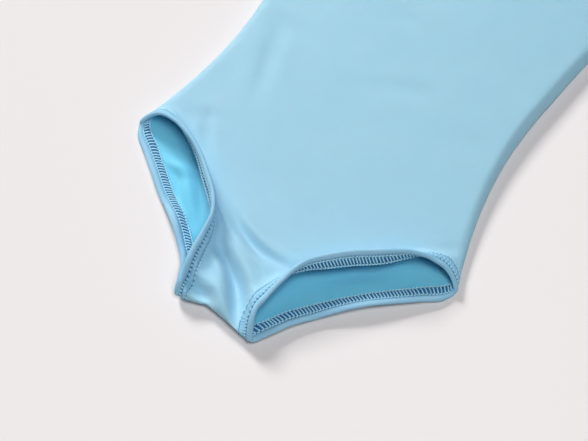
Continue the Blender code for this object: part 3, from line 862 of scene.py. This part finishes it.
class Opening:
    """A ring of outer points by depth from the rim, with normals, read at any place and depth. Round is its
    length at the rim, stitches how many fit round it, and pitch the length of one."""

    def __init__(self, points, depths):
        self.points, self.depths = points, depths
        steps = np.linalg.norm(np.roll(points[:, 0], -1, axis=0) - points[:, 0], axis=1)
        self.places = np.concatenate([[0], np.cumsum(steps)])
        self.round = self.places[-1]
        self.stitches = round(self.round / STITCH)
        self.pitch = self.round / self.stitches
        self.normals = grid_normals(points, closed=True)
        if self.normals[: len(points) // 4, -1, 2].mean() < 0:
            self.normals = -self.normals

    def at(self, place, depth):
        """Point and normal at a place round the ring and a depth: blended between the nearest four."""
        place = np.mod(place, self.round)
        i = np.clip(np.searchsorted(self.places, place, side="right") - 1, 0, len(self.points) - 1)
        a = ((place - self.places[i]) / (self.places[i + 1] - self.places[i]))[..., None]
        k = np.clip(np.interp(depth, self.depths, np.arange(len(self.depths))), 0, len(self.depths) - 1.001)
        j, b = k.astype(int), (k % 1)[..., None]
        n = (i + 1) % len(self.points)
        out = []
        for table in (self.points, self.normals):
            low = table[i, j] * (1 - b) + table[i, j + 1] * b
            high = table[n, j] * (1 - b) + table[n, j + 1] * b
            out.append(low * (1 - a) + high * a)
        return out[0], unit(out[1])


def leg_opening(side):
    """The ring of a leg opening: along the front's edge from crotch to hip, then back along the back's."""
    depths = np.linspace(0, LEG_BAND[side] + TABLE_SPARE, 56)
    shares = crowded(LEG_CENTRE_Y, 300)
    front_part = leg_points(FRONT_EDGE, top_height, shares, side, depths)
    back_part = leg_points(BACK_EDGE, back_height, shares, side, depths)
    return Opening(np.concatenate([front_part, back_part[-2:0:-1]]), depths)


# %% [markdown]
# ## The hem's section
#
# Across the hem, the band is a closed line round a middle line: out along the outer face, round the
# elastic rim, and back along the inner face to the raw edge. Half its thickness is an ellipse at the
# rim, eases down to the flat band, and loses a bell curve at each needle row. Between the rows it
# swells a little in step with the stitches, more in some stretches than in others.

# %% Hem surface
MIDDLE = 0.00105  # the band's middle line lies this far below the cloth's outer face
BAND_HALF = 0.00088  # half the band's thickness away from its rim
PAST_EDGE = 0.0003  # how far the band runs on past the hem's width
RIM_SHARE = 0.47  # how much of the way to the first needle row the elastic takes up


def row_groove(depth, rows, width):
    """A bell curve across each needle row, added up."""
    return sum(np.exp(-(((depth - row) / width) ** 2)) for row in rows)


def outward(points, faces):
    """Whether a closed mesh's faces point out: the sign of its volume, summed over its quads."""
    flat = points.reshape(-1, 3)
    a, b, c, d = (flat[faces[:, k]] for k in range(4))
    return (np.einsum("ij,ij->i", a, np.cross(b, c)) + np.einsum("ij,ij->i", a, np.cross(c, d))).sum() > 0


def turned_hem(name, opening, width, rows, cord, per_stitch):
    """A hem band: places round the opening by points round its section. Each point lies off the middle line by
    half the thickness, less the grooves and with a small ripple in step with the stitches."""
    count = opening.stitches * per_stitch
    place = np.linspace(0, opening.round, count, endpoint=False)[:, None]
    reach = rows[0] * RIM_SHARE
    turn = np.linspace(0, math.pi, 11)
    flat_run = np.linspace(width + PAST_EDGE, reach, 24)[:-1]
    depth = np.concatenate([flat_run, reach * (1 - np.sin(turn)), flat_run[::-1]])[None, :]
    face = np.concatenate([np.ones(len(flat_run)), np.cos(turn), -np.ones(len(flat_run))])[None, :]
    eased = smooth((depth - reach) / (rows[0] - reach))
    half = np.where(depth < reach - 1e-9, cord, cord + (BAND_HALF - cord) * eased)
    between = np.clip((depth - rows[0]) / (rows[1] - rows[0]), 0, 1)
    beat = 0.5 + 0.5 * np.cos(2 * math.pi * place / opening.pitch)
    swell = np.sin(math.pi * between) ** 2 * (0.00030 + 0.00045 * beat)  # a low ridge, higher at each stitch
    around = 2 * math.pi * place
    swell = swell * (1 + 0.25 * np.sin(around / (opening.round / 23)) * np.sin(around / (opening.round / 9)))
    groove = row_groove(depth, rows, 0.0008) * 0.00025 + row_groove(depth, rows, 0.0012) * 0.00080 * beat**2
    tucked = 0.0007 * smooth((depth - width + 0.0004) / 0.0007) * (face > 0)
    off = face * half + np.sign(face) * (swell - groove) * (np.abs(face) > 0.99) - tucked
    point, normal = opening.at(place + 0 * depth, depth + 0 * place)
    points = point + (off - MIDDLE)[..., None] * normal
    # Painted shade: the needle holes on the outer face and the cloth under the looper strokes on the inner face
    # are darkened in colour
    holes = row_groove(depth, rows, 0.0010) * np.clip(beat * 1.8 - 0.55, 0, 1)
    under = smooth((depth - rows[0] + 0.0007) / 0.0006) * smooth((rows[1] + 0.0007 - depth) / 0.0006)
    dark = np.where(face > 0, holes, 0.85 * under)
    faces = ring_faces(points.shape[0], points.shape[1], True)
    if not outward(points, faces):
        faces = faces[:, ::-1]
    return mesh_object(name, points.reshape(-1, 3), faces, shaded_hem_jersey, {"painted_stitch_shade": np.clip(dark, 0, 1)})


# %% [markdown]
# ## Cover stitch
#
# Outside, a cover stitch shows two rows of short dashes, whose ends sink into needle holes. Inside,
# the looper thread runs between the rows in slanted strokes that lie close together and hide the raw
# edge, with a chain of loops along each row. All are arrays of small tubes: a path in places and
# depths near a face of the band, and a ring of points round it.

# %% Stitch threads
rng = np.random.default_rng(7)
NEEDLE_RADIUS = 0.00050
LOOPER_RADIUS = 0.00062
LOOPER_CLOSENESS = 1.25  # inner strokes to each outer dash
DASH_SUNK, DASH_RISE = 0.00046, 0.00078  # a dash's ends below the outer face, its middle above its ends
STROKE_DEPTH, STROKE_SWELL = 0.00190, 0.00060  # a stroke's ends below the outer face, its middle past them
LOOP_DEPTH, LOOP_SWELL = 0.0017, 0.00085  # the same for a loop


def tubes(name, centres, radius, material, sides=6):
    """Many small tubes as one mesh, from paths by points by 3. Each ring stands square to its path and
    shrinks to a near point at both ends, by the sixth power of the distance from the middle."""
    count, length = centres.shape[:2]
    ahead = unit(np.gradient(centres, axis=1))
    helper = np.where(np.abs(ahead[..., 2:3]) > 0.9, [1.0, 0.0, 0.0], [0.0, 0.0, 1.0])
    across = unit(np.cross(ahead, helper))
    up = np.cross(across, ahead)
    angle = np.linspace(0, 2 * math.pi, sides, endpoint=False)
    size = radius * np.sqrt(np.clip(1 - np.linspace(-0.97, 0.97, length) ** 6, 0, 1))
    ring = across[:, :, None] * np.cos(angle)[:, None] + up[:, :, None] * np.sin(angle)[:, None]
    points = centres[:, :, None] + ring * size[None, :, None, None]
    one = ring_faces(length, sides, False)
    faces = (one[None] + (np.arange(count) * length * sides)[:, None, None]).reshape(-1, 4)
    first = np.arange(count)[:, None] * length * sides + np.arange(sides)
    last = first + (length - 1) * sides
    caps = [cap[:, [0, 1, 2, 3, 0, 3, 4, 5]].reshape(-1, 4) for cap in (first[:, ::-1], last)]
    if not outward(points, faces[: (length - 1) * sides]):
        faces, caps = faces[:, ::-1], [cap[:, ::-1] for cap in caps]
    return mesh_object(name, points.reshape(-1, 3), np.concatenate([faces, *caps]), material)


def needle_rows(name, opening, rows):
    """Dashes along both rows, one a stitch long less the gap of the needle hole, sunk at both ends."""
    step = np.linspace(0, 1, 6)
    paths = []
    for row in rows:
        jitter = rng.normal(0, 0.02, (opening.stitches, 1))
        place = (np.arange(opening.stitches)[:, None] + jitter + 0.16 + 0.68 * step) * opening.pitch
        point, normal = opening.at(place, row + 0 * place)
        lift = -DASH_SUNK + DASH_RISE * np.sin(math.pi * step)[:, None]
        paths.append(point + lift * normal)
    return tubes(name, np.concatenate(paths), NEEDLE_RADIUS, needle_thread)


def looper_strokes(name, opening, rows):
    """Slanted strokes between the rows on the inner face, each most of its pitch further along at its far end,
    and loops along each row that swing out past it by a sine."""
    step = np.linspace(0, 1, 7)
    count = round(opening.stitches * LOOPER_CLOSENESS)
    pitch = opening.round / count
    low, high = rows
    jitter = rng.normal(0, 0.03, (count, 1))
    place = (np.arange(count)[:, None] + jitter + 0.95 * step) * pitch
    depth = low + 0.0003 + (high - low - 0.0006) * smooth(step) + 0 * place
    point, normal = opening.at(place, depth)
    paths = [point - (STROKE_DEPTH + STROKE_SWELL * np.sin(math.pi * step)[:, None]) * normal]
    for row, swing in ((low, -0.0005), (high, 0.0004)):
        jitter = rng.normal(0, 0.03, (count, 1))
        place = (np.arange(count)[:, None] + jitter + 0.12 + 0.76 * step) * pitch
        depth = row + swing * np.sin(math.pi * step) + 0 * place
        point, normal = opening.at(place, depth)
        paths.append(point - (LOOP_DEPTH + LOOP_SWELL * np.sin(math.pi * step)[:, None]) * normal)
    return tubes(name, np.concatenate(paths), LOOPER_RADIUS, looper_thread)


def sewn_hem(node_name, opening, width, rows, cord, per_stitch):
    """A hem band with both of its stitch meshes, standing for one solid."""
    hem = turned_hem(f"{node_name}_band", opening, width, rows, cord, per_stitch)
    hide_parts(node_name)
    needles = needle_rows(f"{node_name}_needle_rows", opening, rows)
    loops = looper_strokes(f"{node_name}_looper_strokes", opening, rows)
    print(f"{node_name}: {opening.round:.3f} m round, {opening.stitches} stitches a row")


# %% Leg hems
LEG_CORD = 0.0021  # radius of the rim round its elastic
LEG_PLACES = 8  # places round the hem for each stitch
# painted shade: the hems are the same jersey, given a darker blue for the shade on their standing rims
shaded_hem_jersey = jersey("nylon_elastane_jersey_hem_shaded", colour="#87bcd8", through_light=0.1)
for side, word in ((-1, "left"), (1, "right")):
    rows = (0.0066, LEG_BAND[side] - 0.0004)
    sewn_hem(f"leg_hem_{word}", leg_opening(side), LEG_BAND[side], rows, LEG_CORD, LEG_PLACES)

# %% [markdown]
# ## Neck and wrist hems
#
# The neck and wrists lie outside the photograph. They get the same plain turned hem as the legs, a
# little narrower and with less elastic.

# %% Neck and cuffs
SMALL_ROWS = (0.0040, 0.0096)
SMALL_CORD = 0.0013
SMALL_PLACES = 5
SMALL_DEPTHS = np.linspace(0, SMALL_HEM + TABLE_SPARE, 40)


def neck_opening():
    """The ring of the neckline: the front's quarter ellipse out to the right shoulder, the back's round to the
    left shoulder, and the front's again to the centre."""
    share = 1 - np.linspace(1, 0, 160) ** 1.6
    quarters = []
    for drop, height in ((FRONT_NECK_DROP, top_height), (BACK_NECK_DROP, back_height)):
        plan = np.stack([neck_curve(share, drop, d) for d in SMALL_DEPTHS], axis=1)
        quarters += [raised(plan, height, side) for side in (1, -1)]
    front_right, front_left, back_right, back_left = quarters
    ring = [front_right, back_right[-2::-1], back_left[1:], front_left[-2:0:-1]]
    return Opening(np.concatenate(ring), SMALL_DEPTHS)


def cuff_opening(side):
    """The ring of a wrist, with depth measured back along the sleeve from its end."""
    tube = sleeve_tube(1 - SMALL_DEPTHS / UNDERARM_LENGTH, side)
    return Opening(tube.transpose(1, 0, 2), SMALL_DEPTHS)


small_hems = {"neck_hem": neck_opening(), "cuff_hem_left": cuff_opening(-1), "cuff_hem_right": cuff_opening(1)}
for name, opening in small_hems.items():
    sewn_hem(name, opening, SMALL_HEM, SMALL_ROWS, SMALL_CORD, SMALL_PLACES)

# %% [markdown]
# ## Floor and light
#
# The garment lies on a pale, faintly pink surface. The strongest light is a large window box, low
# beyond the garment and a little to the picture's left, so every crease shows a dark and a bright wall.
# A smaller box overhead, on the near right, reaches down into the leg openings. The card and the sky
# add very little, because their light would fill the shadow under the crotch fold.

# %% Floor, light and view
floor_mesh = bpy.data.meshes.new("floor")
floor_mesh.from_pydata([(-4, -4, 0), (4, -4, 0), (4, 4, 0), (-4, 4, 0)], [], [(0, 1, 2, 3)])
floor = bpy.data.objects.new("floor", floor_mesh)
bpy.context.scene.collection.objects.link(floor)
paper, _, paper_shader = new_material("pale_paper")
set_inputs(paper_shader, {"Base Color": linear("#e9e5e5"), "Roughness": 0.8, "Specular IOR Level": 0.2})
floor_mesh.materials.append(paper)
LEG_OPENINGS = (0.0, -0.15, 0.0)


def softbox(name, place, aim, width, height, power):
    """A rectangular area light at a place, turned towards a point, with its power in watts."""
    light = bpy.data.objects.new(name, bpy.data.lights.new(name, "AREA"))
    bpy.context.scene.collection.objects.link(light)
    light.data.shape = "RECTANGLE"
    light.data.size, light.data.size_y, light.data.energy = width, height, power
    light.location = place
    light.rotation_euler = (Vector(aim) - Vector(place)).to_track_quat("-Z", "Y").to_euler()
    print(name, power, "W")


softbox("overhead_softbox", (0.80, -0.75, 2.8), LEG_OPENINGS, 1.2, 1.2, 43.0)
softbox("window_softbox", (-4.4, 2.5, 3.4), LEG_OPENINGS, 1.6, 1.6, 274.0)
softbox("low_white_card", (0.55, -2.2, 1.0), (0.05, -0.2, 0.0), 1.1, 0.6, 1.5)
world = bpy.data.worlds.new("soft_sky")
world.use_nodes = True
set_inputs(world.node_tree.nodes["Background"], {"Color": linear("#f6f6fb"), "Strength": 0.04})
bpy.context.scene.world = world
bpy.context.scene.view_settings.view_transform = "Standard"
bpy.context.scene.view_settings.look = "Medium High Contrast"
